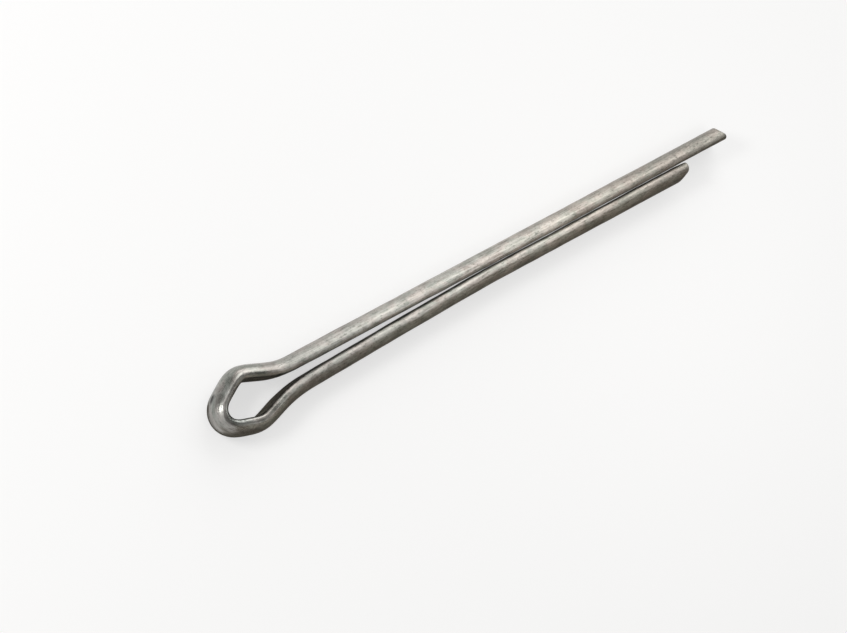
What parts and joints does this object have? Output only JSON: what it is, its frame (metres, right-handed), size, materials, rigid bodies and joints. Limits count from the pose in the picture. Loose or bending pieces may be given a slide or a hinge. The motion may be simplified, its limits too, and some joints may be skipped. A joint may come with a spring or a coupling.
{
  "type": "cotter pin",
  "caption": "Split cotter pin of folded half-round steel wire, with an open eye and one leg longer than the other.",
  "frame": {"origin": "on the shank's axis, where the eye seats on the rim of its hole", "axes": "+X along the shank from the eye to the tips, +Y across the legs towards the long leg, +Z across the wire and up when the pin lies flat"},
  "size_m": [0.1155, 0.0118, 0.0054],
  "materials": {
    "steel_wire": "plain drawn steel wire, satin grey, with fine lines along its length"
  },
  "bodies": {
    "root": {"cotter_pin": "steel_wire"}
  },
  "joints": []
}
